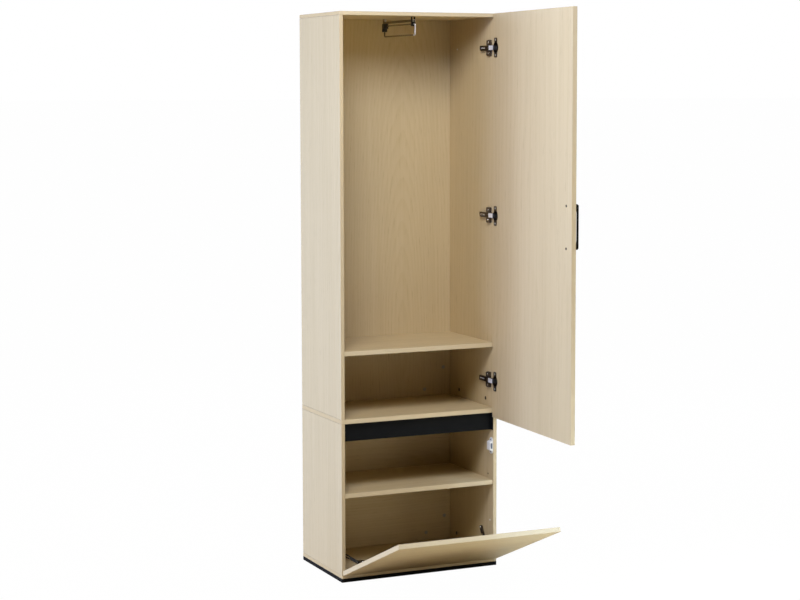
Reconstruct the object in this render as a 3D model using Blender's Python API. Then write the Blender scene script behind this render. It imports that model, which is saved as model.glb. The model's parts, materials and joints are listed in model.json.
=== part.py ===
"""Hallway wardrobe: a tall cupboard with one door stands on a shoe cupboard with a drop-down flap.

Metres, +Z up. The origin is on the floor, at the centre of the base. The front faces -Y and +X is
to the right. The door and the flap stand open, as the wardrobe is shown: each is modelled shut, in
the frame of its own hinge axis, and turned about that axis by its opening angle.
"""

from math import acos, asin, atan2, cos, pi, radians, sin, sqrt

import bmesh
import bpy
from mathutils import Matrix, Vector

# Whole wardrobe
WIDTH = 0.550
HEIGHT = 1.800
CASE_DEPTH = 0.335
SEAM_HEIGHT = 0.5075

# Board thicknesses
SIDE_BOARD = 0.012
BACK_BOARD = 0.010
BACK_RECESS = 0.002
TOP_BOARD = 0.012
SHELF_BOARD = 0.015
BASE_BOARD = 0.012
LEAF_BOARD = 0.015
BOARD_ROUNDING = 0.0006

# Clearance between pieces that rest on or fit into each other
FIT = 0.0003

# Inside of the two cupboards
LOWER_SHELF_UNDER_STRIP = 0.165
UPPER_SHELF_ABOVE_FLOOR = 0.2155
SHELF_SETBACK = 0.003
STRIP_HEIGHT = 0.058
STRIP_THICKNESS = 0.012
STRIP_SETBACK = 0.016
STRIP_RETURN = 0.0015
SHELF_PIN_RADIUS = 0.0025
SHELF_PIN_REACH = 0.009
SHELF_PIN_FLANGE_RADIUS = 0.004
SHELF_PIN_FLANGE = 0.0015
SHELF_PIN_PEG = 0.008
SHELF_PIN_FRONT = 0.050
SHELF_PIN_BACK = 0.060

# Door and flap
LEAF_GAP = 0.0035
LEAF_SIDE_REVEAL = 0.0015
DOOR_BELOW_SEAM = 0.014
DOOR_OPENING = radians(88.0)
FLAP_ABOVE_FLOOR = 0.0005
FLAP_TO_DOOR = 0.008
FLAP_OPENING = radians(67.2)

# Concealed hinges: the pin's place is measured from the leaf's edge and from its inner face
PIN_FROM_EDGE = 0.008
PIN_DEPTH = 0.009
PIN_RADIUS = 0.0012
CUP_BORE_RADIUS = 0.0175
CUP_BORE_DEPTH = 0.0125
CUP_BORE_FROM_EDGE = 0.003
CUP_WALL = 0.0006
CUP_FLOOR = 0.0007
CUP_FLANGE = 0.0012
CUP_RIM = 0.0005
CUP_WING_HEIGHT = 0.063
CUP_WING_WIDTH = 0.021
HINGE_WING_CORNER = 0.004
CUP_LUG_WIDTH = 0.0044
CUP_LUG_THICKNESS = 0.003
LINK_THICKNESS = 0.0022
LINK_WIDTH = 0.014
LINK_EYE_WIDTH = 0.010
LINK_EYE_RADIUS = 0.0021
LINK_BEND_RADIUS = 0.003
LINK_TAIL = 0.017
ARM_FROM_PIN = 0.0114
ARM_THICKNESS = 0.0016
ARM_WIDTH = 0.016
ARM_WALL_HEIGHT = 0.005
ARM_LENGTH = 0.085
ARM_SLOT_LENGTH = 0.030
ARM_SLOT_WIDTH = 0.005
PLATE_SETBACK = 0.029
PLATE_WING_HEIGHT = 0.051
PLATE_WING_WIDTH = 0.026
PLATE_WING_THICKNESS = 0.002
PLATE_PAD_HEIGHT = 0.007
PLATE_PAD_INSET = 0.0007
PLATE_SADDLE_SETBACK = 0.006
PLATE_SADDLE_LENGTH = 0.077
DOOR_HINGE_FROM_TOP = 0.109
DOOR_HINGE_FROM_BOTTOM = 0.1195
FLAP_HINGE_FROM_END = 0.0985

# D handle on the door, with straight bar and wide fillets inside its legs
HANDLE_SPACING = 0.128
HANDLE_PROJECTION = 0.025
HANDLE_BAR_WIDTH = 0.008
HANDLE_BAR_THICKNESS = 0.0045
HANDLE_LEG_WIDTH = 0.009
HANDLE_CORNER = 0.006
HANDLE_FILLET = 0.018
HANDLE_ROUNDING = 0.0012
HANDLE_FROM_EDGE = 0.035

# Slotted stays that hold the flap: the side plate's place is measured from the case's front and its floor
STAY_PIN_FROM_FRONT = 0.062
STAY_PIN_ABOVE_FLOOR = 0.060
STAY_TOP_FROM_FRONT = 0.081
STAY_TOP_ABOVE_FLOOR = 0.087
STAY_PIN_ABOVE_FLAP = 0.010
STAY_PIN_RADIUS = 0.0025
STAY_HEAD_RADIUS = 0.004
STAY_HEAD = 0.0025
STAY_ARM_WIDTH = 0.011
STAY_ARM_THICKNESS = 0.002
STAY_ARM_FROM_SIDE = 0.005
STAY_PLATE_WIDTH = 0.012
STAY_PLATE_THICKNESS = 0.002
STAY_SPINE_THICKNESS = 0.0065
STAY_SPINE_FROM_PIN = 0.0155
STAY_SPINE_INSET = 0.0003
STAY_SLOT_SPARE = 0.0012
STAY_EAR_THICKNESS = 0.004
STAY_EAR_WIDTH = 0.012
STAY_FOOT_LENGTH = 0.030
STAY_FOOT_WIDTH = 0.018
STAY_FOOT_THICKNESS = 0.0025

# Magnetic catch of the flap
CATCH_HEIGHT = 0.055
CATCH_WIDTH = 0.012
CATCH_DEPTH = 0.020
CATCH_UNDER_STRIP = 0.0525
CATCH_BEHIND_FRONT = 0.001
CATCH_EAR_DEPTH = 0.003
CATCH_BODY_HEIGHT = 0.032
CATCH_CHAMFER = 0.004
MAGNET_HEIGHT = 0.018
MAGNET_WIDTH = 0.006
MAGNET_PROUD = 0.0012
MAGNET_DEPTH = 0.010
STRIKE_HEIGHT = 0.030
STRIKE_WIDTH = 0.012
STRIKE_THICKNESS = 0.001

# Pull-out hanging rail under the top
RAIL_FRONT = 0.034
RAIL_FROM_BACK = 0.045
RAIL_WIRE_RADIUS = 0.0025
RAIL_WIRE_DROP = 0.0575
RAIL_ROD_DROP = 0.023
RAIL_BEND_RADIUS = 0.005
RAIL_REAR_WIRE_FROM_END = 0.005
TRACK_HEIGHT = 0.016
TRACK_BACK_DROP = 0.0087
TRACK_FOOT = 0.012
TRACK_WIDTH = 0.008
TRACK_WALL = 0.0015
TRACK_FRONT_SETBACK = 0.008
GUIDE_LENGTH = 0.010
GUIDE_CHEEK = 0.0015
GUIDE_SETBACK = 0.005
CARRIAGE_LENGTH = 0.019
CARRIAGE_SOCKET_LENGTH = 0.0095
CARRIAGE_NOTCH = 0.010
CARRIAGE_WIDTH = 0.015
CARRIAGE_BOTTOM_DROP = 0.042
CARRIAGE_KEY_HEIGHT = 0.004

# Smoothness of round pieces
ROUND_SEGMENTS = 28
SMALL_SEGMENTS = 14

# Places worked out from the sizes above
FRONT = -CASE_DEPTH / 2
BACK = CASE_DEPTH / 2
OUTER_X = WIDTH / 2
INNER_X = OUTER_X - SIDE_BOARD
BACK_FACE = BACK - BACK_RECESS - BACK_BOARD
LOWER_FLOOR = BASE_BOARD + TOP_BOARD
UPPER_FLOOR = SEAM_HEIGHT + SHELF_BOARD
CEILING = HEIGHT - TOP_BOARD
STRIP_BOTTOM = SEAM_HEIGHT - STRIP_HEIGHT
LOWER_SHELF_TOP = STRIP_BOTTOM - LOWER_SHELF_UNDER_STRIP
UPPER_SHELF_TOP = UPPER_FLOOR + UPPER_SHELF_ABOVE_FLOOR
CATCH_MIDDLE = STRIP_BOTTOM - CATCH_UNDER_STRIP
DOOR_BOTTOM = SEAM_HEIGHT - DOOR_BELOW_SEAM
FLAP_BOTTOM = LOWER_FLOOR + FLAP_ABOVE_FLOOR
LEAF_WIDTH = WIDTH - 2 * LEAF_SIDE_REVEAL
DOOR_HEIGHT = HEIGHT - DOOR_BOTTOM
FLAP_HEIGHT = DOOR_BOTTOM - FLAP_TO_DOOR - FLAP_BOTTOM
LEAF_AXIS_Y = FRONT - LEAF_GAP - PIN_DEPTH
DOOR_AXIS = Vector((OUTER_X - LEAF_SIDE_REVEAL - PIN_FROM_EDGE, LEAF_AXIS_Y, 0))
FLAP_AXIS = Vector((0, LEAF_AXIS_Y, FLAP_BOTTOM + PIN_FROM_EDGE))
CASE_FRONT_FROM_PIN = PIN_DEPTH + LEAF_GAP
CUP_CENTRE = PIN_FROM_EDGE - CUP_BORE_FROM_EDGE - CUP_BORE_RADIUS
LEAF_OUTER_FACE = PIN_DEPTH - LEAF_BOARD
LOWEST_HINGE = DOOR_BOTTOM + DOOR_HINGE_FROM_BOTTOM
HIGHEST_HINGE = HEIGHT - DOOR_HINGE_FROM_TOP
DOOR_HINGE_HEIGHTS = (LOWEST_HINGE, (LOWEST_HINGE + HIGHEST_HINGE) / 2, HIGHEST_HINGE)
FLAP_HINGE_FROM_MIDDLE = LEAF_WIDTH / 2 - FLAP_HINGE_FROM_END
RAIL_END = BACK_FACE - RAIL_FROM_BACK


def clear_scene():
    """Remove every object that the scene holds."""
    for old in list(bpy.data.objects):
        bpy.data.objects.remove(old, do_unlink=True)


def finish(name, colour, roughness, metallic=0.0):
    """A plain Principled material."""
    material = bpy.data.materials.new(name)
    material.use_nodes = True
    shader = material.node_tree.nodes["Principled BSDF"]
    shader.inputs["Base Color"].default_value = (*colour, 1.0)
    shader.inputs["Roughness"].default_value = roughness
    shader.inputs["Metallic"].default_value = metallic
    return material


def make_finishes():
    """The wardrobe's finishes by name."""
    return {
        "ash": finish("ash_laminate", (0.62, 0.52, 0.38), 0.5),
        "black": finish("black_laminate", (0.012, 0.013, 0.016), 0.45),
        "bronze": finish("dark_nickel", (0.10, 0.085, 0.065), 0.35, 1.0),
        "steel": finish("bright_steel", (0.72, 0.72, 0.72), 0.25, 1.0),
        "plastic": finish("black_plastic", (0.015, 0.015, 0.016), 0.4),
        "white": finish("white_plastic", (0.80, 0.81, 0.83), 0.4),
        "magnet": finish("magnet_steel", (0.33, 0.36, 0.42), 0.4, 0.8),
        "handle": finish("black_handle", (0.012, 0.012, 0.013), 0.4),
    }


def axis_frame(name, matrix):
    """An empty that carries pieces in the frame of a joint or a seat."""
    empty = bpy.data.objects.new(name, None)
    empty.matrix_world = matrix
    bpy.context.collection.objects.link(empty)
    return empty


def add_object(name, data, material, carrier=None):
    """Link a mesh or a curve as an object that a frame may carry."""
    piece = bpy.data.objects.new(name, data)
    bpy.context.collection.objects.link(piece)
    piece.parent = carrier
    data.materials.append(material)
    return piece


def mesh_piece(name, bm, material, carrier=None, smooth=False):
    """Turn a bmesh into an object with its faces pointing out."""
    bmesh.ops.recalc_face_normals(bm, faces=bm.faces)
    mesh = bpy.data.meshes.new(name)
    bm.to_mesh(mesh)
    bm.free()
    if smooth:
        mesh.shade_smooth()
        mesh.set_sharp_from_angle(angle=radians(35))
    return add_object(name, mesh, material, carrier)


def box_mesh(low, high):
    """A box between two corners."""
    low, high = Vector(low), Vector(high)
    bm = bmesh.new()
    bmesh.ops.create_cube(bm, size=1.0)
    size = high - low
    bmesh.ops.scale(bm, vec=size, verts=bm.verts)
    bmesh.ops.translate(bm, vec=(low + high) / 2, verts=bm.verts)
    return bm


def rod_mesh(start, end, radius, segments=SMALL_SEGMENTS, end_radius=None):
    """A round rod, or a cone where the end radius differs."""
    start, end = Vector(start), Vector(end)
    along = end - start
    bm = bmesh.new()
    bmesh.ops.create_cone(bm, cap_ends=True, segments=segments, radius1=radius,
                          radius2=radius if end_radius is None else end_radius, depth=along.length)
    turn = Vector((0, 0, 1)).rotation_difference(along).to_matrix().to_4x4()
    bmesh.ops.transform(bm, matrix=Matrix.Translation((start + end) / 2) @ turn, verts=bm.verts)
    return bm


def prism_mesh(outline, low, high, place):
    """Extrude an outline; place(u, v, w) gives the point for outline (u, v) at height w."""
    bm = bmesh.new()
    ring = [bm.verts.new(place(u, v, low)) for u, v in outline]
    base = bm.faces.new(ring)
    grown = bmesh.ops.extrude_face_region(bm, geom=[base])
    moved = [item for item in grown["geom"] if isinstance(item, bmesh.types.BMVert)]
    shift = Vector(place(0, 0, high)) - Vector(place(0, 0, low))
    bmesh.ops.translate(bm, vec=shift, verts=moved)
    return bm


def stadium(start, end, radius, steps=7):
    """Outline of a slot with round ends between two points."""
    (u0, v0), (u1, v1) = start, end
    heading = atan2(v1 - v0, u1 - u0)
    outline = []
    for (u, v), first in (((u1, v1), heading - pi / 2), ((u0, v0), heading + pi / 2)):
        for step in range(steps + 1):
            angle = first + pi * step / steps
            outline.append((u + radius * cos(angle), v + radius * sin(angle)))
    return outline


def corner_arc(centre, radius, first, last, steps=5):
    """Points of an arc round a corner, from the first angle to the last."""
    turns = [first + (last - first) * step / steps for step in range(steps + 1)]
    return [(centre[0] + radius * cos(turn), centre[1] + radius * sin(turn)) for turn in turns]


def bevel_edges(piece, width=BOARD_ROUNDING, segments=2):
    """Break the sharp edges of a piece."""
    bevel = piece.modifiers.new("rounded edges", "BEVEL")
    bevel.width = width
    bevel.segments = segments
    bevel.limit_method = "ANGLE"
    return piece


def combine(piece, bm, operation):
    """Add a shape to a piece or cut it away, in the piece's own frame."""
    tool = mesh_piece(piece.name + "_tool", bm, piece.data.materials[0], piece.parent)
    tool.hide_render = True
    tool.display_type = "WIRE"
    boolean = piece.modifiers.new(operation.lower(), "BOOLEAN")
    boolean.operation = operation
    boolean.solver = "EXACT"
    boolean.object = tool
    return piece


def cut(piece, bm):
    """Cut a shape out of a piece."""
    return combine(piece, bm, "DIFFERENCE")


def fuse(piece, bm):
    """Join a shape to a piece."""
    return combine(piece, bm, "UNION")


def board(name, low, high, material, carrier=None):
    """A laminated board with its edges broken."""
    return bevel_edges(mesh_piece(name, box_mesh(low, high), material, carrier))


def shelf_pin_places(shelf_bottom):
    """Front-to-back places and height of the pins under a shelf."""
    return [(FRONT + SHELF_PIN_FRONT, shelf_bottom), (BACK_FACE - SHELF_PIN_BACK, shelf_bottom)]


def shelf_pin(name, side, y, shelf_bottom, material):
    """A turned pin: a stem in the side board, a flange against it and a peg under the shelf."""
    z = shelf_bottom - FIT - SHELF_PIN_RADIUS
    face = side * (INNER_X - FIT)
    flange_end = face - side * SHELF_PIN_FLANGE
    pin = mesh_piece(name, rod_mesh((side * (INNER_X + SHELF_PIN_REACH), y, z),
                                    (flange_end - side * SHELF_PIN_PEG, y, z), SHELF_PIN_RADIUS),
                     material, smooth=True)
    flange_z = z - (SHELF_PIN_FLANGE_RADIUS - SHELF_PIN_RADIUS)
    return fuse(pin, rod_mesh((face, y, flange_z), (flange_end, y, flange_z), SHELF_PIN_FLANGE_RADIUS))


def side_board(name, side, bottom, top, shelf_bottom, material):
    """A side board with blind holes for its shelf pins."""
    inner, outer = side * INNER_X, side * OUTER_X
    piece = board(name, (min(inner, outer), FRONT, bottom + FIT), (max(inner, outer), BACK, top), material)
    for y, height in shelf_pin_places(shelf_bottom):
        z = height - FIT - SHELF_PIN_RADIUS
        cut(piece, rod_mesh((inner - side * SIDE_BOARD, y, z),
                            (inner + side * (SHELF_PIN_REACH + FIT), y, z), SHELF_PIN_RADIUS + FIT))
    return piece


def make_lower_case(finishes):
    """Black base, shoe cupboard, its shelf and the black strip behind the joint of door and flap."""
    ash, black = finishes["ash"], finishes["black"]
    inside = INNER_X - FIT
    shelf_bottom = LOWER_SHELF_TOP - SHELF_BOARD
    board("base_board", (-OUTER_X, FRONT, 0), (OUTER_X, BACK, BASE_BOARD), black)
    board("lower_bottom", (-OUTER_X, FRONT, BASE_BOARD + FIT), (OUTER_X, BACK, LOWER_FLOOR), ash)
    for side, word in ((-1, "left"), (1, "right")):
        side_board(f"lower_{word}_side", side, LOWER_FLOOR, SEAM_HEIGHT, shelf_bottom, ash)
    board("lower_back", (-inside, BACK_FACE, LOWER_FLOOR + FIT),
          (inside, BACK - BACK_RECESS, SEAM_HEIGHT), ash)
    board("lower_shelf", (-inside, FRONT + SHELF_SETBACK, shelf_bottom),
          (inside, BACK_FACE - FIT, LOWER_SHELF_TOP), ash)
    strip_front = FRONT + STRIP_SETBACK
    strip = board("grip_strip", (-inside, strip_front, STRIP_BOTTOM),
                  (inside, strip_front + STRIP_THICKNESS, SEAM_HEIGHT), black)
    for side in (-1, 1):
        ends = sorted((side * (inside - FIT), side * (inside - FIT - STRIP_RETURN)))
        fuse(strip, box_mesh((ends[0], FRONT + SHELF_SETBACK / 3, STRIP_BOTTOM + FIT),
                             (ends[1], strip_front + STRIP_THICKNESS / 2, SEAM_HEIGHT - FIT)))
    return shelf_bottom


def make_upper_case(finishes):
    """Coat cupboard and its shelf; top and bottom run over the ends of the sides."""
    ash = finishes["ash"]
    inside = INNER_X - FIT
    shelf_bottom = UPPER_SHELF_TOP - SHELF_BOARD
    board("upper_bottom", (-OUTER_X, FRONT, SEAM_HEIGHT + FIT), (OUTER_X, BACK, UPPER_FLOOR), ash)
    for side, word in ((-1, "left"), (1, "right")):
        side_board(f"upper_{word}_side", side, UPPER_FLOOR, CEILING, shelf_bottom, ash)
    board("upper_back", (-inside, BACK_FACE, UPPER_FLOOR + FIT), (inside, BACK - BACK_RECESS, CEILING), ash)
    board("upper_shelf", (-inside, FRONT + SHELF_SETBACK, shelf_bottom),
          (inside, BACK_FACE - FIT, UPPER_SHELF_TOP), ash)
    board("upper_top", (-OUTER_X, FRONT, CEILING + FIT), (OUTER_X, BACK, HEIGHT), ash)
    return shelf_bottom


def make_shelf_pins(finishes, shelves):
    """Four pins under each shelf."""
    for shelf, shelf_bottom in shelves:
        for side, word in ((-1, "left"), (1, "right")):
            for (y, height), end in zip(shelf_pin_places(shelf_bottom), ("front", "back")):
                shelf_pin(f"{shelf}_pin_{word}_{end}", side, y, height, finishes["steel"])


def lathe_mesh(profile, centre, segments=ROUND_SEGMENTS):
    """Turn a profile of (radius, y) points about an axis along Y; its ends lie on the axis."""
    bm = bmesh.new()
    x, z = centre
    rings = []
    for radius, y in profile:
        if radius == 0:
            rings.append([bm.verts.new((x, y, z))])
            continue
        turns = [2 * pi * step / segments for step in range(segments)]
        rings.append([bm.verts.new((x + radius * cos(turn), y, z + radius * sin(turn))) for turn in turns])
    for ring, following in zip(rings, rings[1:]):
        for step in range(segments):
            near = [ring[step % len(ring)], ring[step - 1 if len(ring) > 1 else 0]]
            far = [following[step - 1 if len(following) > 1 else 0], following[step % len(following)]]
            bm.faces.new(list(dict.fromkeys(near + far)))
    return bm


def wing_end(middle, half, reach, along, end):
    """Rounded end of a hinge's screw wing, reached from its low side; end says which way it points."""
    radius = min(HINGE_WING_CORNER, half)
    tip = corner_arc((middle - half + radius, reach - radius), radius, pi, pi / 2, 3)
    tip += corner_arc((middle + half - radius, reach - radius), radius, pi / 2, 0, 3)
    return [(u, along + end * v) for u, v in tip]


def cup_wing(along, end, middle):
    """Outline of one screw wing: from the middle of the rim to a round end."""
    half = CUP_WING_WIDTH / 2
    spread = asin(half / middle)
    outline = []
    for step in range(5):
        angle = pi / 2 - spread + 2 * spread * step / 4
        outline.append((CUP_CENTRE + middle * cos(angle), along + end * middle * sin(angle)))
    return outline + wing_end(CUP_CENTRE, half, CUP_WING_HEIGHT / 2, along, end)


def hinge_cup(name, carrier, along, material):
    """Pressed cup with two screw wings and, between two lugs, the pin that its link turns on."""
    seat = PIN_DEPTH + FIT
    top = seat + CUP_FLANGE
    floor = PIN_DEPTH - CUP_BORE_DEPTH + FIT
    outside = CUP_BORE_RADIUS - FIT
    inside = outside - CUP_WALL
    rim = outside + CUP_RIM
    profile = ((0, floor), (outside, floor), (outside, seat), (rim, seat), (rim, top), (inside, top),
               (inside, floor + CUP_FLOOR), (0, floor + CUP_FLOOR))
    cup = mesh_piece(name, lathe_mesh(profile, (CUP_CENTRE, along)), material, carrier, smooth=True)
    sink = CUP_FLANGE / 8
    for end in (-1, 1):
        wing = cup_wing(along, end, (inside + rim) / 2)
        fuse(cup, prism_mesh(wing, seat + sink, top - sink, lambda u, v, w: (u, w, v)))
        near = along + end * (LINK_EYE_WIDTH / 2 + FIT)
        far = near + end * CUP_LUG_THICKNESS
        half = CUP_LUG_WIDTH / 2
        fuse(cup, box_mesh((-half, floor + CUP_FLOOR / 2, min(near, far)), (half, half, max(near, far))))
    half_pin = LINK_EYE_WIDTH / 2 + FIT + CUP_LUG_THICKNESS / 2
    return fuse(cup, rod_mesh((0, 0, along - half_pin), (0, 0, along + half_pin), PIN_RADIUS))


def link_outline():
    """Side view of a hinge link: along the arm, round the leaf's rim and into the cup."""
    half = LINK_THICKNESS / 2
    line = -(ARM_FROM_PIN + FIT + half)
    outer, inner = LINK_BEND_RADIUS + half, LINK_BEND_RADIUS - half
    centre = (line + LINK_BEND_RADIUS, LINK_BEND_RADIUS)
    tail = CASE_FRONT_FROM_PIN + LINK_TAIL
    steps = 6
    outline = [(line + half, tail), (line - half, tail)]
    for step in range(steps + 1):
        angle = pi + pi / 2 * step / steps
        outline.append((centre[0] + outer * cos(angle), centre[1] + outer * sin(angle)))
    outline += [(0, -half), (0, half)]
    for step in range(steps + 1):
        angle = 1.5 * pi - pi / 2 * step / steps
        outline.append((centre[0] + inner * cos(angle), centre[1] + inner * sin(angle)))
    return outline


def hinge_link(name, carrier, along, material):
    """Bright link of a concealed hinge, with an eye round the cup's pin."""
    upright = lambda u, v, w: (u, v, w)
    half = LINK_WIDTH / 2
    link = mesh_piece(name, prism_mesh(link_outline(), along - half, along + half, upright),
                      material, carrier, smooth=True)
    waist = LINK_EYE_WIDTH / 2
    narrow_from = -ARM_FROM_PIN / 2
    for low, high in ((along - 2 * half, along - waist), (along + waist, along + 2 * half)):
        cut(link, box_mesh((narrow_from, -LINK_WIDTH, low), (LINK_WIDTH, LINK_BEND_RADIUS, high)))
    eye = waist - FIT
    fuse(link, rod_mesh((0, 0, along - eye), (0, 0, along + eye), LINK_EYE_RADIUS))
    return cut(link, rod_mesh((0, 0, along - LINK_WIDTH), (0, 0, along + LINK_WIDTH), PIN_RADIUS + FIT))


def hinge_arm(name, carrier, along, material):
    """Pressed channel that straddles the mounting plate, with a slot for its clamping screw."""
    front = CASE_FRONT_FROM_PIN
    rear = front + ARM_LENGTH
    top = -ARM_FROM_PIN
    under = top + ARM_THICKNESS
    half = ARM_WIDTH / 2
    wall_end = under + ARM_WALL_HEIGHT
    arm = mesh_piece(name, box_mesh((top, front, along - half), (wall_end, rear, along + half)),
                     material, carrier)
    inside = half - ARM_THICKNESS
    cut(arm, box_mesh((under, front - ARM_WIDTH, along - inside),
                      (under + 2 * ARM_WALL_HEIGHT, rear + ARM_WIDTH, along + inside)))
    slot_end = rear - ARM_SLOT_WIDTH
    slot = stadium((slot_end - ARM_SLOT_LENGTH, along), (slot_end, along), ARM_SLOT_WIDTH / 2)
    cut(arm, prism_mesh(slot, top - ARM_WIDTH, under + FIT, lambda u, v, w: (w, u, v)))
    return bevel_edges(arm, width=0.0004, segments=1)


def wing_pad(middle, along, end):
    """Outline of the thick screw pad on one wing of a mounting plate."""
    half = PLATE_WING_WIDTH / 2 - PLATE_PAD_INSET
    reach = PLATE_WING_HEIGHT / 2 - PLATE_PAD_INSET
    start = along + end * (ARM_WIDTH / 2 + PLATE_PAD_INSET)
    return [(middle + half, start), (middle - half, start)] + wing_end(middle, half, reach, along, end)


def hinge_plate(name, carrier, along, seat, material):
    """Mounting plate: two thick screw wings on the board and a raised saddle under the arm."""
    front = CASE_FRONT_FROM_PIN
    foot = seat - FIT
    middle = front + PLATE_SETBACK
    saddle_top = -ARM_FROM_PIN + ARM_THICKNESS + FIT
    saddle_half = ARM_WIDTH / 2 - ARM_THICKNESS - FIT
    half, reach = PLATE_WING_WIDTH / 2, PLATE_WING_HEIGHT / 2
    wing = wing_end(middle, half, reach, along, 1) + wing_end(middle, half, reach, along, -1)[::-1]
    plate = mesh_piece(name, prism_mesh(wing, foot - PLATE_WING_THICKNESS, foot, lambda u, v, w: (w, u, v)),
                       material, carrier)
    saddle_foot = foot - PLATE_WING_THICKNESS / 4
    saddle_front = front + PLATE_SADDLE_SETBACK
    fuse(plate, box_mesh((saddle_top, saddle_front, along - saddle_half),
                         (saddle_foot, saddle_front + PLATE_SADDLE_LENGTH, along + saddle_half)))
    for end in (-1, 1):
        fuse(plate, prism_mesh(wing_pad(middle, along, end), foot - PLATE_PAD_HEIGHT,
                               foot - PLATE_WING_THICKNESS / 2, lambda u, v, w: (w, u, v)))
    return plate


def hinge_set(word, along, seat, fixed, moving, finishes):
    """All pieces of one concealed hinge; seat is where its board's face lies in the hinge frame."""
    hinge_plate(f"{word}_plate", fixed, along, seat, finishes["bronze"])
    hinge_arm(f"{word}_arm", fixed, along, finishes["bronze"])
    hinge_link(f"{word}_link", fixed, along, finishes["steel"])
    hinge_cup(f"{word}_cup", moving, along, finishes["bronze"])


def leaf(name, length, low, high, cups, carrier, material):
    """A door or flap in its hinge frame: its hinged edge towards +X, its inner face towards +Y."""
    panel = board(name, (PIN_FROM_EDGE - length, LEAF_OUTER_FACE, low), (PIN_FROM_EDGE, PIN_DEPTH, high),
                  material, carrier)
    for along in cups:
        cut(panel, rod_mesh((CUP_CENTRE, PIN_DEPTH - CUP_BORE_DEPTH, along),
                            (CUP_CENTRE, PIN_DEPTH + CUP_BORE_DEPTH, along), CUP_BORE_RADIUS,
                            ROUND_SEGMENTS))
    return panel


def handle_outline():
    """Side view of the handle: bar and legs, measured from the door's face and the bar's middle."""
    half = (HANDLE_SPACING + HANDLE_LEG_WIDTH) / 2
    inner_half = half - HANDLE_LEG_WIDTH
    inside = HANDLE_PROJECTION - HANDLE_BAR_THICKNESS
    corner = HANDLE_PROJECTION - HANDLE_CORNER
    fillet = min(HANDLE_FILLET, inside * 0.9)
    outline = [(0, -half)]
    outline += corner_arc((corner, HANDLE_CORNER - half), HANDLE_CORNER, -pi / 2, 0)
    outline += corner_arc((corner, half - HANDLE_CORNER), HANDLE_CORNER, 0, pi / 2)
    outline += [(0, half), (0, inner_half)]
    outline += corner_arc((inside - fillet, inner_half - fillet), fillet, pi / 2, 0, 8)
    outline += corner_arc((inside - fillet, fillet - inner_half), fillet, 0, -pi / 2, 8)
    return outline + [(0, -inner_half)]


def handle(name, centre_x, face_y, centre_z, material, carrier):
    """The door's handle, its legs standing on the door's outer face."""
    low, high = centre_x - HANDLE_BAR_WIDTH / 2, centre_x + HANDLE_BAR_WIDTH / 2
    place = lambda u, v, w: (w, face_y - u, centre_z + v)
    bar = mesh_piece(name, prism_mesh(handle_outline(), low, high, place), material, carrier, smooth=True)
    return bevel_edges(bar, HANDLE_ROUNDING)


def make_door(finishes):
    """The tall door on three concealed hinges, with its bow handle."""
    turned = Matrix.Translation(DOOR_AXIS) @ Matrix.Rotation(DOOR_OPENING, 4, "Z")
    moving = axis_frame("door_axis", turned)
    fixed = axis_frame("door_hinge_seat", Matrix.Translation(DOOR_AXIS))
    leaf("door_panel", LEAF_WIDTH, DOOR_BOTTOM, HEIGHT, DOOR_HINGE_HEIGHTS, moving, finishes["ash"])
    handle_x = PIN_FROM_EDGE - LEAF_WIDTH + HANDLE_FROM_EDGE
    handle_z = DOOR_BOTTOM + DOOR_HEIGHT / 2
    handle("door_handle", handle_x, LEAF_OUTER_FACE - FIT, handle_z, finishes["handle"], moving)
    seat = INNER_X - DOOR_AXIS.x
    for word, height in zip(("bottom", "middle", "top"), DOOR_HINGE_HEIGHTS):
        hinge_set(f"door_hinge_{word}", height, seat, fixed, moving, finishes)


def make_flap(finishes):
    """The drop-down flap on two concealed hinges; its hinge frame has X down and Z along the width."""
    seat_frame = Matrix.Translation(FLAP_AXIS) @ Matrix.Rotation(pi / 2, 4, "Y")
    moving = axis_frame("flap_axis", seat_frame @ Matrix.Rotation(FLAP_OPENING, 4, "Z"))
    fixed = axis_frame("flap_hinge_seat", seat_frame)
    half = LEAF_WIDTH / 2
    places = (-FLAP_HINGE_FROM_MIDDLE, FLAP_HINGE_FROM_MIDDLE)
    leaf("flap_panel", FLAP_HEIGHT, -half, half, places, moving, finishes["ash"])
    seat = FLAP_AXIS.z - LOWER_FLOOR
    for word, along in zip(("left", "right"), places):
        hinge_set(f"flap_hinge_{word}", along, seat, fixed, moving, finishes)
    strike_x = INNER_X - CATCH_WIDTH / 2
    strike = FLAP_AXIS.z - CATCH_MIDDLE
    foot = PIN_DEPTH + FIT
    board("catch_strike", (strike - STRIKE_HEIGHT / 2, foot, strike_x - STRIKE_WIDTH / 2),
          (strike + STRIKE_HEIGHT / 2, foot + STRIKE_THICKNESS, strike_x + STRIKE_WIDTH / 2),
          finishes["steel"], moving)
    return moving


def stay_places():
    """Flap pin and side pin of a stay, as (y, z), with the flap pin as far from the hinge as the side pin.

    With equal distances the arm turns exactly half as far as the flap, and the side pin runs along a
    straight slot.
    """
    side_pin = Vector((FRONT + STAY_PIN_FROM_FRONT, LOWER_FLOOR + STAY_PIN_ABOVE_FLOOR))
    hinge = Vector((FLAP_AXIS.y, FLAP_AXIS.z))
    reach = (side_pin - hinge).length
    above = PIN_DEPTH + STAY_PIN_ABOVE_FLAP
    along_flap = sqrt(reach ** 2 - above ** 2)
    lean = FLAP_OPENING
    flap_pin = hinge + Vector((-sin(lean), cos(lean))) * along_flap + Vector((cos(lean), sin(lean))) * above
    return side_pin, flap_pin, reach, along_flap


def stay_slot_ends():
    """Least and greatest distance of the side pin from the flap pin, flap shut and flap open."""
    side_pin, flap_pin, reach, _ = stay_places()
    open_length = (side_pin - flap_pin).length
    open_angle = 2 * acos(sqrt(1 - (open_length / (2 * reach)) ** 2))
    shut_length = 2 * reach * sin((open_angle - FLAP_OPENING) / 2)
    return shut_length, open_length


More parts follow.
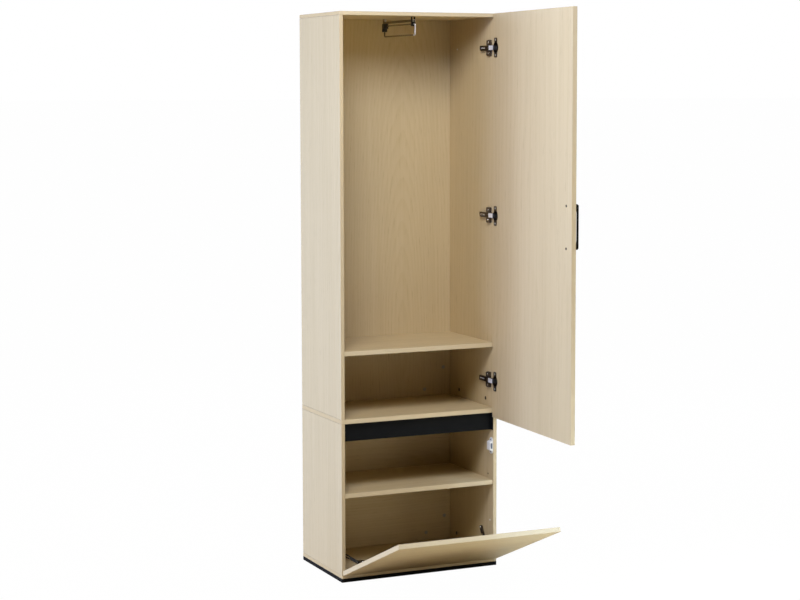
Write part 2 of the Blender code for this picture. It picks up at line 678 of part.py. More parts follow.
def stay_plate(name, side, side_pin, material):
    """Plate on the side board with a shouldered, headed pin for the arm's slot."""
    face = INNER_X - FIT
    arm_outer = INNER_X - STAY_ARM_FROM_SIDE + STAY_ARM_THICKNESS / 2
    arm_inner = arm_outer - STAY_ARM_THICKNESS
    across = lambda u, v, w: (side * w, u, v)
    plate_top = (FRONT + STAY_TOP_FROM_FRONT, LOWER_FLOOR + STAY_TOP_ABOVE_FLOOR)
    strip = stadium(plate_top, tuple(side_pin), STAY_PLATE_WIDTH / 2)
    plate = mesh_piece(name, prism_mesh(strip, face - STAY_PLATE_THICKNESS, face, across), material)
    towards_top = (Vector(plate_top) - side_pin).normalized()
    spine = stadium(plate_top, tuple(side_pin + towards_top * STAY_SPINE_FROM_PIN),
                    STAY_PLATE_WIDTH / 2 - STAY_SPINE_INSET)
    inside_plate = face - STAY_PLATE_THICKNESS / 2
    fuse(plate, prism_mesh(spine, face - STAY_SPINE_THICKNESS, inside_plate, across))
    y, z = side_pin
    fuse(plate, rod_mesh((side * inside_plate, y, z), (side * (arm_outer + FIT), y, z), STAY_HEAD_RADIUS))
    head = arm_inner - FIT
    pin_end = head - STAY_HEAD / 2
    fuse(plate, rod_mesh((side * inside_plate, y, z), (side * pin_end, y, z), STAY_PIN_RADIUS))
    return fuse(plate, rod_mesh((side * head, y, z), (side * (head - STAY_HEAD), y, z), STAY_HEAD_RADIUS))


def stay_arm(name, side, side_pin, flap_pin, material):
    """Flat arm with an eye on the flap's pin and a slot that slides on the side's pin."""
    shut_length, open_length = stay_slot_ends()
    arm_outer = INNER_X - STAY_ARM_FROM_SIDE + STAY_ARM_THICKNESS / 2
    arm_inner = arm_outer - STAY_ARM_THICKNESS
    towards = (side_pin - flap_pin).normalized()
    pivot = axis_frame(f"{name}_pivot", Matrix.Translation((0, *flap_pin)))
    place = lambda u, v, w: (side * w, towards.x * u - towards.y * v, towards.y * u + towards.x * v)
    arm = mesh_piece(name, prism_mesh(stadium((0, 0), (open_length, 0), STAY_ARM_WIDTH / 2), arm_inner,
                                      arm_outer, place), material, pivot)
    hole = STAY_PIN_RADIUS + FIT
    slot = stadium((shut_length - STAY_SLOT_SPARE, 0), (open_length + STAY_SLOT_SPARE, 0), hole)
    wide = STAY_ARM_WIDTH
    cut(arm, prism_mesh(slot, arm_inner - wide, arm_outer + wide, place))
    return cut(arm, prism_mesh(stadium((-FIT / 9, 0), (FIT / 9, 0), hole), arm_inner - wide,
                               arm_outer + wide, place))


def stay_bracket(name, side, along_flap, carrier, material):
    """Bracket on the flap: a screwed foot, an ear and the headed pin of the arm's eye."""
    arm_outer = INNER_X - STAY_ARM_FROM_SIDE + STAY_ARM_THICKNESS / 2
    ear_outer = arm_outer - STAY_ARM_THICKNESS - FIT
    ear_inner = ear_outer - STAY_EAR_THICKNESS
    foot = PIN_DEPTH + FIT
    pin_y = PIN_DEPTH + STAY_PIN_ABOVE_FLAP
    x = -along_flap
    foot_end = ear_outer - STAY_EAR_THICKNESS / 8
    ends = sorted((side * foot_end, side * (foot_end - STAY_FOOT_WIDTH)))
    bracket = mesh_piece(name, box_mesh((x - STAY_FOOT_LENGTH / 2, foot, ends[0]),
                                        (x + STAY_FOOT_LENGTH / 2, foot + STAY_FOOT_THICKNESS, ends[1])),
                         material, carrier)
    half = STAY_EAR_WIDTH / 2
    ear = [(x - half, foot + STAY_FOOT_THICKNESS / 3), (x + half, foot + STAY_FOOT_THICKNESS / 3)]
    for step in range(9):
        angle = pi * step / 8
        ear.append((x + half * cos(angle), pin_y + half * sin(angle)))
    fuse(bracket, prism_mesh(ear, ear_inner, ear_outer, lambda u, v, w: (u, v, side * w)))
    head = arm_outer + FIT
    head_end = head + STAY_ARM_THICKNESS / 2
    inside_ear = (ear_inner + ear_outer) / 2
    inside_head = (head + head_end) / 2
    fuse(bracket, rod_mesh((x, pin_y, side * inside_ear), (x, pin_y, side * inside_head), STAY_PIN_RADIUS))
    return fuse(bracket, rod_mesh((x, pin_y, side * head), (x, pin_y, side * head_end), STAY_HEAD_RADIUS))


def make_stays(finishes, flap_carrier):
    """A slotted stay at each side of the flap."""
    side_pin, flap_pin, _, along_flap = stay_places()
    for side, word in ((-1, "left"), (1, "right")):
        stay_plate(f"stay_plate_{word}", side, side_pin, finishes["bronze"])
        stay_arm(f"stay_arm_{word}", side, side_pin, flap_pin, finishes["bronze"])
        stay_bracket(f"stay_bracket_{word}", side, along_flap, flap_carrier, finishes["steel"])


def make_catch(finishes):
    """White magnetic catch on the right side of the shoe cupboard: eared housing and its magnet."""
    face = INNER_X - FIT
    front = FRONT + CATCH_BEHIND_FRONT
    low, high = CATCH_MIDDLE - CATCH_BODY_HEIGHT / 2, CATCH_MIDDLE + CATCH_BODY_HEIGHT / 2
    reach = (CATCH_HEIGHT - CATCH_DEPTH) / 2
    middle = front + CATCH_DEPTH / 2
    ears = stadium((middle, CATCH_MIDDLE - reach), (middle, CATCH_MIDDLE + reach), CATCH_DEPTH / 2)
    housing = mesh_piece("catch_housing", prism_mesh(ears, face - CATCH_EAR_DEPTH, face,
                                                     lambda u, v, w: (w, u, v)), finishes["white"])
    lip = CATCH_EAR_DEPTH / 6
    inner, outer = face - CATCH_WIDTH, face - lip
    body = ((outer, low), (outer, high), (inner + CATCH_CHAMFER, high), (inner, high - CATCH_CHAMFER),
            (inner, low + CATCH_CHAMFER), (inner + CATCH_CHAMFER, low))
    fuse(housing, prism_mesh(body, front - lip, front + CATCH_DEPTH + lip, lambda u, v, w: (u, w, v)))
    centre = face - CATCH_WIDTH / 2
    pocket = MAGNET_WIDTH / 2 + FIT
    tall = MAGNET_HEIGHT / 2 + FIT
    cut(housing, box_mesh((centre - pocket, front - CATCH_DEPTH, CATCH_MIDDLE - tall),
                          (centre + pocket, front + MAGNET_DEPTH + FIT, CATCH_MIDDLE + tall)))
    magnet_low, magnet_high = CATCH_MIDDLE - MAGNET_HEIGHT / 2, CATCH_MIDDLE + MAGNET_HEIGHT / 2
    board("catch_magnet", (centre - MAGNET_WIDTH / 2, front - MAGNET_PROUD, magnet_low),
          (centre + MAGNET_WIDTH / 2, front + MAGNET_DEPTH, magnet_high), finishes["magnet"])


def rail_path():
    """Centre line of the rail's wire: rod, front bow, hanging wire and rear upright."""
    rod, wire = CEILING - RAIL_ROD_DROP, CEILING - RAIL_WIRE_DROP
    front = FRONT + RAIL_FRONT + RAIL_WIRE_RADIUS
    rear = RAIL_END - RAIL_REAR_WIRE_FROM_END
    rod_end = RAIL_END - CARRIAGE_LENGTH - FIT
    upright_end = CEILING - CARRIAGE_BOTTOM_DROP - FIT
    bend = RAIL_BEND_RADIUS
    corners = (((front + bend, rod - bend), pi / 2), ((front + bend, wire + bend), pi),
               ((rear - bend, wire + bend), 1.5 * pi))
    steps = 5
    path = [(rod_end, rod)]
    for (y, z), first in corners:
        for step in range(steps + 1):
            angle = first + pi / 2 * step / steps
            path.append((y + bend * cos(angle), z + bend * sin(angle)))
    path.append((rear, upright_end))
    return path


def make_rail(finishes):
    """Pull-out hanging rail: track and the guide round it stay, carriage and wire slide to the front."""
    plastic = finishes["plastic"]
    half = TRACK_WIDTH / 2
    track_front = FRONT + RAIL_FRONT + TRACK_FRONT_SETBACK
    track_rear = RAIL_END
    seat = CEILING - FIT
    track_bottom = CEILING - TRACK_HEIGHT
    track_back = CEILING - TRACK_BACK_DROP
    foot = track_rear - TRACK_FOOT
    side_view = ((track_front, track_bottom), (track_rear, track_bottom), (track_rear, seat), (foot, seat),
                 (foot, track_back), (track_front, track_back))
    track = mesh_piece("rail_track", prism_mesh(side_view, -half, half, lambda u, v, w: (w, u, v)),
                       finishes["steel"])
    inside = half - TRACK_WALL
    cut(track, box_mesh((-inside, track_front - half, track_bottom - half),
                        (inside, track_rear + half, track_back - TRACK_WALL)))
    rod = CEILING - RAIL_ROD_DROP
    guide_top = track_bottom - FIT
    guide_half = half + FIT + GUIDE_CHEEK
    guide_front = track_front + GUIDE_SETBACK
    guide_rear = guide_front + GUIDE_LENGTH
    guide = board("rail_front_guide", (-guide_half, guide_front, 2 * rod - guide_top),
                  (guide_half, guide_rear, seat), plastic)
    cut(guide, box_mesh((-half - FIT, guide_front - half, guide_top),
                        (half + FIT, guide_rear + half, seat + half)))
    cut(guide, rod_mesh((0, guide_front - GUIDE_LENGTH, rod), (0, guide_rear + GUIDE_LENGTH, rod),
                        RAIL_WIRE_RADIUS + 2 * FIT))
    wide = CARRIAGE_WIDTH / 2
    carriage = board("rail_carriage", (-wide, track_rear - CARRIAGE_LENGTH, CEILING - CARRIAGE_BOTTOM_DROP),
                     (wide, track_rear, track_bottom - FIT), plastic)
    below = CEILING - CARRIAGE_BOTTOM_DROP
    cut(carriage, box_mesh((-CARRIAGE_WIDTH, track_rear - 2 * CARRIAGE_LENGTH, below - CARRIAGE_NOTCH),
                           (CARRIAGE_WIDTH, track_rear - CARRIAGE_SOCKET_LENGTH, below + CARRIAGE_NOTCH)))
    key = inside - FIT
    key_end = 2 * BOARD_ROUNDING
    fuse(carriage, box_mesh((-key, track_rear - CARRIAGE_LENGTH + key_end, track_bottom - 2 * TRACK_WALL),
                            (key, track_rear - key_end, track_bottom + CARRIAGE_KEY_HEIGHT)))
    curve = bpy.data.curves.new("rail_wire", "CURVE")
    curve.dimensions = "3D"
    curve.bevel_depth = RAIL_WIRE_RADIUS
    curve.bevel_resolution = 2
    curve.use_fill_caps = True
    path = rail_path()
    spline = curve.splines.new("POLY")
    spline.points.add(len(path) - 1)
    for point, (y, z) in zip(spline.points, path):
        point.co = (0, y, z, 1)
    add_object("rail_wire", curve, finishes["steel"])


def main():
    """Build the wardrobe."""
    clear_scene()
    finishes = make_finishes()
    lower_shelf_bottom = make_lower_case(finishes)
    upper_shelf_bottom = make_upper_case(finishes)
    make_shelf_pins(finishes, (("lower_shelf", lower_shelf_bottom), ("upper_shelf", upper_shelf_bottom)))
    make_door(finishes)
    flap_carrier = make_flap(finishes)
    make_stays(finishes, flap_carrier)
    make_catch(finishes)
    make_rail(finishes)


main()
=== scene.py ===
"""Hallway wardrobe: finishes, fastenings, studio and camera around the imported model.

Metres, +Z up. The front faces -Y, +X is to the right, and the origin is on the floor under the
base.
"""

import json
from collections import namedtuple
from math import pi, radians

import bpy
from mathutils import Euler, Matrix, Vector

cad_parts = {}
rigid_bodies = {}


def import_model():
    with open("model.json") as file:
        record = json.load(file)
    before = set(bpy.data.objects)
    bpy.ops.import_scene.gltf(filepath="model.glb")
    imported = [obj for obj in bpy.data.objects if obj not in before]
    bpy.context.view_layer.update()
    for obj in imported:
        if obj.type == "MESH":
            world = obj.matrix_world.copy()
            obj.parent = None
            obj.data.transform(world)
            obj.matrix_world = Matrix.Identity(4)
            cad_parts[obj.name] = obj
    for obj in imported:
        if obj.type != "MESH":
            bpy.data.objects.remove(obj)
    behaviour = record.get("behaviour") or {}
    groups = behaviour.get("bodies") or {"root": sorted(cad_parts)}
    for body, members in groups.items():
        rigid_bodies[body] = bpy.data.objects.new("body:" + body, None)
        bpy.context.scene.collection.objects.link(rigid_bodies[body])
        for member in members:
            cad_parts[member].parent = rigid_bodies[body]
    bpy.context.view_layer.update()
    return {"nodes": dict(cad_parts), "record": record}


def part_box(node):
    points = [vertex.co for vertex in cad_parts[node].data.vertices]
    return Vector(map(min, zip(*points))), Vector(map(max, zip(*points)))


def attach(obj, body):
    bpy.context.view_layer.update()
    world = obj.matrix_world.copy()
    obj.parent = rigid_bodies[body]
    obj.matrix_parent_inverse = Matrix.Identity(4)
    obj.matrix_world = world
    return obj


SIDES = (-1, 1)
ORIGIN = (0.0, 0.0, 0.0)
X_AXIS, Y_AXIS, Z_AXIS = (1.0, 0.0, 0.0), (0.0, 1.0, 0.0), (0.0, 0.0, 1.0)

# Hinges: y of a leaf's frame points through the leaf, x runs across the door and down the flap
DOOR_OPEN = radians(88.0)
FLAP_OPEN = radians(67.2)
DOOR_AXIS = Matrix.Translation((0.2655, -0.180, 0.0))
DOOR_LEAF = DOOR_AXIS @ Matrix.Rotation(DOOR_OPEN, 4, "Z")
FLAP_AXIS = Matrix.Translation((0.0, -0.180, 0.0325)) @ Matrix.Rotation(pi / 2, 4, "Y")
FLAP_LEAF = FLAP_AXIS @ Matrix.Rotation(FLAP_OPEN, 4, "Z")
DOOR_HINGES = (0.613, 1.152, 1.691)
FLAP_HINGES = (-0.175, 0.175)
LEAF_MIDDLE = 0.0015
LEAF_HALF = 0.0075

# Case faces
INNER_X = 0.263
BACK_FACE = 0.1555
BACK = 0.1655
LOWER_FLOOR = 0.024
UPPER_FLOOR = 0.5225

# Sockets of the colour mix node
MIX_FACTOR, MIX_A, MIX_B, MIX_RESULT = 0, 6, 7, 2
NOISE_MEAN = 0.5


class Socket:
    """An output of a node; arithmetic on it adds Math nodes."""

    def __init__(self, tree, output):
        self.tree = tree
        self.output = output

    def math(self, operation, *values):
        return self.tree.node("ShaderNodeMath", {"operation": operation}, dict(enumerate(values)))

    def __add__(self, other):
        return self.math("ADD", self, other)

    def __radd__(self, other):
        return self.math("ADD", other, self)

    def __sub__(self, other):
        return self.math("SUBTRACT", self, other)

    def __rsub__(self, other):
        return self.math("SUBTRACT", other, self)

    def __mul__(self, other):
        return self.math("MULTIPLY", self, other)

    def __abs__(self):
        return self.math("ABSOLUTE", self)

    def fraction(self):
        return self.math("FRACT", self)

    def ping_pong(self, scale):
        return self.math("PINGPONG", self, scale)

    def about_mean(self, weight):
        """How far a noise lies from its mean, weighted."""
        return (self - NOISE_MEAN) * weight

    def step(self, low, high):
        """Smooth step from 0 at low to 1 at high; low may be the larger."""
        return self.tree.node("ShaderNodeMapRange", {"interpolation_type": "SMOOTHSTEP"},
                              {"Value": self, "From Min": low, "From Max": high})


class Tree:
    """A node tree that grows by one method."""

    def __init__(self, tree):
        self.tree = tree

    def node(self, kind, settings=None, sockets=None, output=0):
        """Add a node: its settings first, then the values or links of its sockets.

        A list links all its members to one socket."""
        made = self.tree.nodes.new(kind)
        for key, value in (settings or {}).items():
            setattr(made, key, value)
        for key, value in (sockets or {}).items():
            for item in value if isinstance(value, list) else [value]:
                if isinstance(item, Socket):
                    self.tree.links.new(item.output, made.inputs[key])
                else:
                    made.inputs[key].default_value = item
        return Socket(self, made.outputs[output]) if made.outputs else None


class Finish(Tree):
    """A material: places on the piece, noises, colour mixes and the closing shader."""

    def __init__(self, name):
        self.material = bpy.data.materials.new(name)
        self.material.use_nodes = True
        self.material.node_tree.nodes.clear()
        super().__init__(self.material.node_tree)
        self.place = self.node("ShaderNodeTexCoord", output="Object")

    def vector_math(self, operation, *values, output=0):
        return self.node("ShaderNodeVectorMath", {"operation": operation},
                         dict(enumerate(values)), output)

    def scaled(self, scale, shift=ORIGIN, place=None):
        """A place, by default in object coordinates, moved and then scaled along each axis."""
        moved = self.vector_math("ADD", self.place if place is None else place, shift)
        return self.vector_math("MULTIPLY", moved, scale)

    def along(self, vector, axis):
        """How far a vector reaches along a direction."""
        return self.vector_math("DOT_PRODUCT", vector, axis, output="Value")

    def noise(self, place, scale=1.0, detail=2.0, roughness=0.5):
        return self.node("ShaderNodeTexNoise", {"noise_dimensions": "3D"},
                         {"Vector": place, "Scale": scale, "Detail": detail,
                          "Roughness": roughness})

    def cells(self, place, scale):
        return self.node("ShaderNodeTexVoronoi", {"feature": "F1"},
                         {"Vector": place, "Scale": scale})

    def mix(self, factor, first, second):
        """Blend two colours."""
        return self.node("ShaderNodeMix", {"data_type": "RGBA", "clamp_factor": True},
                         {MIX_FACTOR: factor, MIX_A: first, MIX_B: second}, MIX_RESULT)

    def bump(self, height, strength, distance):
        return self.node("ShaderNodeBump", None,
                         {"Height": height, "Strength": strength, "Distance": distance})

    def close(self, color, roughness, normal, **constants):
        """Join colour, roughness and bump in the shader; other sockets take constants."""
        sockets = {"Base Color": color, "Roughness": roughness, "Normal": normal}
        sockets.update({key.replace("_", " "): value for key, value in constants.items()})
        shader = self.node("ShaderNodeBsdfPrincipled", None, sockets)
        self.node("ShaderNodeOutputMaterial", None, {"Surface": shader})
        return self.material


def rgb(red, green, blue):
    return (red, green, blue, 1.0)


WHITE = rgb(1.0, 1.0, 1.0)

# Ash colours
ASH_LIGHT = rgb(0.610, 0.490, 0.290)
ASH_DARK = rgb(0.505, 0.388, 0.208)
ASH_PORE = rgb(0.320, 0.222, 0.110)
ASH_BAND = rgb(0.720, 0.615, 0.420)
# Painted shade: the front edge bands of the left sides are darker than the others
ASH_SHADED_SIDE_BAND = rgb(0.615, 0.505, 0.330)
ASH_END = rgb(0.535, 0.390, 0.190)
ASH_FLAP_END = rgb(0.660, 0.520, 0.295)
ASH_GLUE = rgb(0.220, 0.155, 0.080)

# Ash noises: scale across and along the grain, per metre
SWAY_SCALE = (7.0, 1.6)
TONE_SCALE = (14.0, 0.7)
STREAK_SCALE = (150.0, 1.8)
FIBRE_SCALE = (700.0, 8.0)
PORE_SCALE = (560.0, 20.0)
SMEAR_SCALE = (3.0, 3.0)
SWAY_REACH = 0.006
RINGS_PER_METRE = 105.0

# Ash weights: what bends the rings, what makes the figure darker, and how far edges are covered
RING_SWAY, RING_TONE = 2.1, 2.4
FIGURE_LEVEL = 0.37
TONE_WEIGHT, STREAK_WEIGHT, FIBRE_WEIGHT = 0.50, 0.85, 0.40
LATEWOOD_WEIGHT, FLAME_WEIGHT = 0.06, 0.85
PORE_WEIGHT, LATEWOOD_PORE_WEIGHT = 0.12, 0.35
EDGE_LEVEL, EDGE_STREAK_WEIGHT = 0.35, 0.8
# The arris cover lays a painted highlight on the rounded arrises
BAND_COVER, ARRIS_HIGHLIGHT_COVER = 0.8, 0.35
GLUE_COVER, END_GLUE_COVER = 0.45, 0.3

# Ash steps: pores and latewood by their noises, edges by how squarely a face looks that way
PORE_STEP = (0.62, 0.74)
LATEWOOD_RISE = (0.30, 0.92)
LATEWOOD_FALL = (1.0, 0.93)
BAND_STEP = (0.40, 0.25)
ARRIS_STEP = (0.985, 0.90)
END_STEP = (0.5, 0.7)
REAR_STEP = (0.75, 0.85)
GLUE_OUTSET = 0.0008
GLUE_INSET = 0.0011
ASH_BUMP = {"strength": 0.22, "distance": 0.00025}

# What the laminate of a board is made from
Board = namedtuple("Board", "name grain thin middle half shift flame tape end_tape")


def grained(board, across, along):
    """A scale for each axis: along on the axis of the grain, across on the other two."""
    return tuple(along if axis == board.grain else across for axis in "XYZ")


def ash_figure(ash, board):
    """Tone, streaks, fibres, pores and latewood of the wood, which sway along the grain.

    The board's shift brings the heart of its growth rings to the origin. A larger flame draws
    the rings out less."""
    def noise(place, scale, **settings):
        return ash.noise(ash.scaled(grained(board, *scale), board.shift, place), **settings)

    sway = noise(ash.place, SWAY_SCALE, detail=1.0)
    reach = ash.node("ShaderNodeCombineXYZ", None, {axis: sway * SWAY_REACH for axis in "XYZ"})
    swayed = ash.vector_math("ADD", ash.place, reach)
    tone = noise(swayed, TONE_SCALE)
    streak = noise(swayed, STREAK_SCALE, detail=3.0, roughness=0.6)
    fibre = noise(swayed, FIBRE_SCALE, roughness=0.6)
    pores = noise(swayed, PORE_SCALE, detail=1.0).step(*PORE_STEP)
    to_heart = ash.scaled(grained(board, 1.0, board.flame), board.shift, swayed)
    rings = ash.vector_math("LENGTH", to_heart, output="Value")
    growth = (rings * RINGS_PER_METRE + sway * RING_SWAY + tone * RING_TONE).fraction()
    latewood = growth.step(*LATEWOOD_RISE) * growth.step(*LATEWOOD_FALL)
    return tone, streak, fibre, pores, latewood


def ash_edges(ash, board):
    """Masks of a board's edge bands, its ends and rear edges, its arrises, which get a painted
    highlight, and its glue lines.
    """
    normal = ash.node("ShaderNodeTexCoord", output="Normal")
    facing = abs(ash.along(normal, board.thin))
    band = facing.step(*BAND_STEP)
    arris = facing.step(*ARRIS_STEP) * (1.0 - band)
    depth = abs(ash.along(ash.place, board.thin) - board.middle)
    glue = depth.step(board.half - GLUE_INSET, board.half - GLUE_OUTSET) * band
    ends = abs(ash.along(normal, X_AXIS)).step(*END_STEP) * band
    ends = ends + ash.along(normal, Y_AXIS).step(*REAR_STEP) * band
    return band, ends, arris, glue


def ash_laminate(board):
    """Ash laminate on a board, with edge bands and glue lines on its narrow faces."""
    ash = Finish(f"ash_{board.name}")
    tone, streak, fibre, pores, latewood = ash_figure(ash, board)
    band, ends, arris, glue = ash_edges(ash, board)

    figure = (tone.about_mean(TONE_WEIGHT) + streak.about_mean(STREAK_WEIGHT)
              + fibre.about_mean(FIBRE_WEIGHT)
              + latewood * (LATEWOOD_WEIGHT + board.flame * FLAME_WEIGHT) + FIGURE_LEVEL)
    color = ash.mix(figure, ASH_LIGHT, ASH_DARK)
    pitted = pores * latewood * LATEWOOD_PORE_WEIGHT + pores * PORE_WEIGHT
    color = ash.mix(pitted, color, ASH_PORE)
    edge = ash.mix(ends, board.tape, board.end_tape)
    edge = ash.mix(streak.about_mean(EDGE_STREAK_WEIGHT) + EDGE_LEVEL, edge, ASH_LIGHT)
    color = ash.mix(band * BAND_COVER + ends * (1.0 - BAND_COVER), color, edge)
    # Painted highlight: the rounded arrises lightened towards the edge tape's colour
    color = ash.mix(arris * ARRIS_HIGHLIGHT_COVER, color, board.tape)
    color = ash.mix(glue * GLUE_COVER + glue * ends * END_GLUE_COVER, color, ASH_GLUE)

    smear = ash.noise(ash.scaled(grained(board, *SMEAR_SCALE), board.shift), detail=3.0)
    roughness = 0.46 + streak * 0.10 + smear.about_mean(0.14) - arris * 0.08
    height = streak * 0.5 + fibre * 0.35 - pores * 0.8 - glue * 0.6
    return ash.close(color, roughness, ash.bump(height, **ASH_BUMP), Specular_IOR_Level=0.3)


# Dark and light tone of every other finish
TONES = {
    "black_laminate": (rgb(0.0026, 0.0032, 0.0042), rgb(0.0060, 0.0072, 0.0090)),
    "black_enamel": (rgb(0.0008, 0.0008, 0.0009), rgb(0.0030, 0.0030, 0.0030)),
    "black_plastic": (rgb(0.003, 0.003, 0.003), rgb(0.008, 0.008, 0.008)),
    "white_plastic": (rgb(0.74, 0.74, 0.72), rgb(0.86, 0.86, 0.84)),
    "magnet": (rgb(0.090, 0.110, 0.160), rgb(0.150, 0.180, 0.250)),
    "cast_zinc": (rgb(0.30, 0.29, 0.25), rgb(0.46, 0.45, 0.40)),
    "dark_nickel": (rgb(0.045, 0.036, 0.028), rgb(0.135, 0.110, 0.085)),
    "plate_nickel": (rgb(0.045, 0.036, 0.028), rgb(0.135, 0.110, 0.085)),
    "link_nickel": (rgb(0.80, 0.80, 0.81), rgb(0.92, 0.92, 0.92)),
    # The rail's chrome is painted dark, a painted reflection of the shaded interior
    "rail_chrome": (rgb(0.24, 0.23, 0.21), rgb(0.38, 0.37, 0.35)),
    "bright_steel": (rgb(0.62, 0.62, 0.62), rgb(0.82, 0.82, 0.81)),
    "zinc_steel": (rgb(0.46, 0.47, 0.49), rgb(0.66, 0.67, 0.68)),
}
TARNISH = rgb(0.055, 0.040, 0.028)
# Painted shade, nearly black, on the door links where they reach into the cups
CUP_SHADE = rgb(0.020, 0.018, 0.016)
KEY_BRIGHT = rgb(0.86, 0.84, 0.80)
# Painted highlight on the front end of the hanging rail
RAIL_FRONT_HIGHLIGHT = rgb(0.90, 0.89, 0.88)

# Scale of the brushing along x, y and z, per metre
BRUSHING = {
    "dark_nickel": (700.0, 90.0, 260.0),
    "plate_nickel": (700.0, 90.0, 260.0),
    "link_nickel": (240.0, 90.0, 1400.0),
    "rail_chrome": (300.0, 60.0, 300.0),
    "bright_steel": (240.0, 90.0, 1400.0),
    "zinc_steel": (900.0, 160.0, 160.0),
}
CLOUD_SCALE = 70.0
SCRATCH_SCALE = (1900.0, 240.0, 240.0)
SCRATCH_STEP = (0.66, 0.74)
TARNISH_STEP = (0.56, 0.76)
METAL_BUMP = {"strength": 0.12, "distance": 0.0001}

# Roughness of moulded finishes; roughness and tarnish of brushed ones
MOULDED = {"black_plastic": 0.42, "white_plastic": 0.34, "magnet": 0.45, "cast_zinc": 0.36}
BRUSHED = {"dark_nickel": (0.34, 0.0), "bright_steel": (0.24, 0.0), "zinc_steel": (0.34, 0.12)}

# Where plated pieces change: by y, and by height from the middle of a hinge arm
# Painted shade on the door links, by y, where they reach into the cups
HOOK_SHADE_STEP = (-0.1782, -0.1797)
KEY_FRONT_STEP = (-0.1200, -0.1180)
KEY_HEIGHT_STEP = (0.0026, 0.0020)
# Painted highlight on the rail's front end, by y
RAIL_HIGHLIGHT_STEP = (-0.118, -0.125)

# Noises of black laminate, powder coat and moulded surfaces, per metre
PRINT_SCALE = (3.0, 190.0, 190.0)
DUST_SCALE = 26.0
SPECK_SCALE = 900.0
PEEL_SCALE = 1100.0
COAT_CLOUD_SCALE = 45.0
MOULD_SCALE = 1500.0
FLOW_SCALE = 60.0


class Plating(Finish):
    """Plated steel: brushed streaks and cloudy plating between two tones."""

    def __init__(self, name, rough, clouding=0.14):
        super().__init__(name)
        self.streaks = self.noise(self.scaled(BRUSHING[name]), detail=3.0, roughness=0.7)
        self.cloud = self.noise(self.place, CLOUD_SCALE, detail=4.0, roughness=0.6)
        self.color = self.mix(self.cloud * 0.55 + self.streaks * 0.45, *TONES[name])
        self.roughness = rough + self.streaks.about_mean(0.16) + self.cloud.about_mean(clouding)

    def tint(self, factor, color):
        """Lay a colour over the plating."""
        self.color = self.mix(factor, self.color, color)

    def plated(self, height, metallic):
        bump = self.bump(height, **METAL_BUMP)
        return self.close(self.color, self.roughness, bump, Metallic=metallic)


def brushed_metal(name, rough, tarnish):
    """Plated steel with fine scratches and tarnished clouds."""
    metal = Plating(name, rough)
    scratch = metal.noise(metal.scaled(SCRATCH_SCALE), detail=1.0).step(*SCRATCH_STEP)
    metal.tint(metal.cloud.step(*TARNISH_STEP) * tarnish, TARNISH)
    metal.roughness = metal.roughness + scratch * 0.12
    return metal.plated(metal.streaks + scratch, metallic=1.0)


def link_nickel():
    """Satin nickel of the door hinges' links, with painted shade where they reach into the cups.
    """
    metal = Plating("link_nickel", rough=0.34)
    # Painted shade: the links turn nearly black where they reach into the cups
    hook_shade = metal.along(metal.place, Y_AXIS).step(*HOOK_SHADE_STEP)
    metal.tint(hook_shade * 0.97, CUP_SHADE)
    return metal.plated(metal.streaks, metallic=0.3)


def plate_nickel():
    """Dark nickel of the door's mounting plates, bright on the keys under the arms' slots."""
    metal = Plating("plate_nickel", rough=0.34)
    height = metal.along(metal.place, Z_AXIS) - DOOR_HINGES[0]
    from_arm = height.ping_pong((DOOR_HINGES[1] - DOOR_HINGES[0]) / 2)
    inward = metal.along(metal.place, Y_AXIS)
    key = from_arm.step(*KEY_HEIGHT_STEP) * inward.step(*KEY_FRONT_STEP)
    # A bright tone on the keys under the arms' slots
    metal.tint(key * 0.95, KEY_BRIGHT)
    return metal.plated(metal.streaks, metallic=0.7)


def rail_chrome():
    """Chrome of the hanging rail, painted dark as a painted reflection of the shaded interior,
    with a painted highlight at its front end.
    """
    metal = Plating("rail_chrome", rough=0.22, clouding=0.12)
    # Painted highlight: the rail turns bright at its front end
    front = metal.along(metal.place, Y_AXIS).step(*RAIL_HIGHLIGHT_STEP)
    metal.tint(front * 0.95, RAIL_FRONT_HIGHLIGHT)
    metal.roughness = metal.roughness + front * 0.10
    return metal.plated(metal.streaks, metallic=0.85)


def black_laminate():
    """Matt black laminate with a faint print of grain and a little dust."""
    black = Finish("black_laminate")
    grain = black.noise(black.scaled(PRINT_SCALE), detail=3.0, roughness=0.65)
    dust = black.noise(black.place, DUST_SCALE, detail=4.0)
    speck = black.cells(black.place, SPECK_SCALE)
    color = black.mix(grain * 0.6 + dust * 0.4, *TONES["black_laminate"])
    roughness = 0.50 + dust * 0.16 + grain * 0.06
    bump = black.bump(grain + speck * 0.5, strength=0.25, distance=0.0002)
    return black.close(color, roughness, bump, Specular_IOR_Level=0.1)


def powder_coat():
    """Black powder coat with its orange peel."""
    coat = Finish("black_enamel")
    peel = coat.noise(coat.place, PEEL_SCALE)
    cloud = coat.noise(coat.place, COAT_CLOUD_SCALE, detail=3.0)
    color = coat.mix(cloud, *TONES["black_enamel"])
    roughness = 0.38 + cloud * 0.14 + peel * 0.06
    bump = coat.bump(peel, strength=0.35, distance=0.0002)
    return coat.close(color, roughness, bump, Specular_IOR_Level=0.12)


def moulded(name, rough):
    """A moulded or cast piece with the fine grain of its mould."""
    piece = Finish(name)
    grain = piece.cells(piece.place, MOULD_SCALE)
    flow = piece.noise(piece.place, FLOW_SCALE, detail=3.0)
    color = piece.mix(flow, *TONES[name])
    bump = piece.bump(grain, strength=0.2, distance=0.0001)
    return piece.close(color, rough + flow * 0.12 + grain * 0.06, bump)


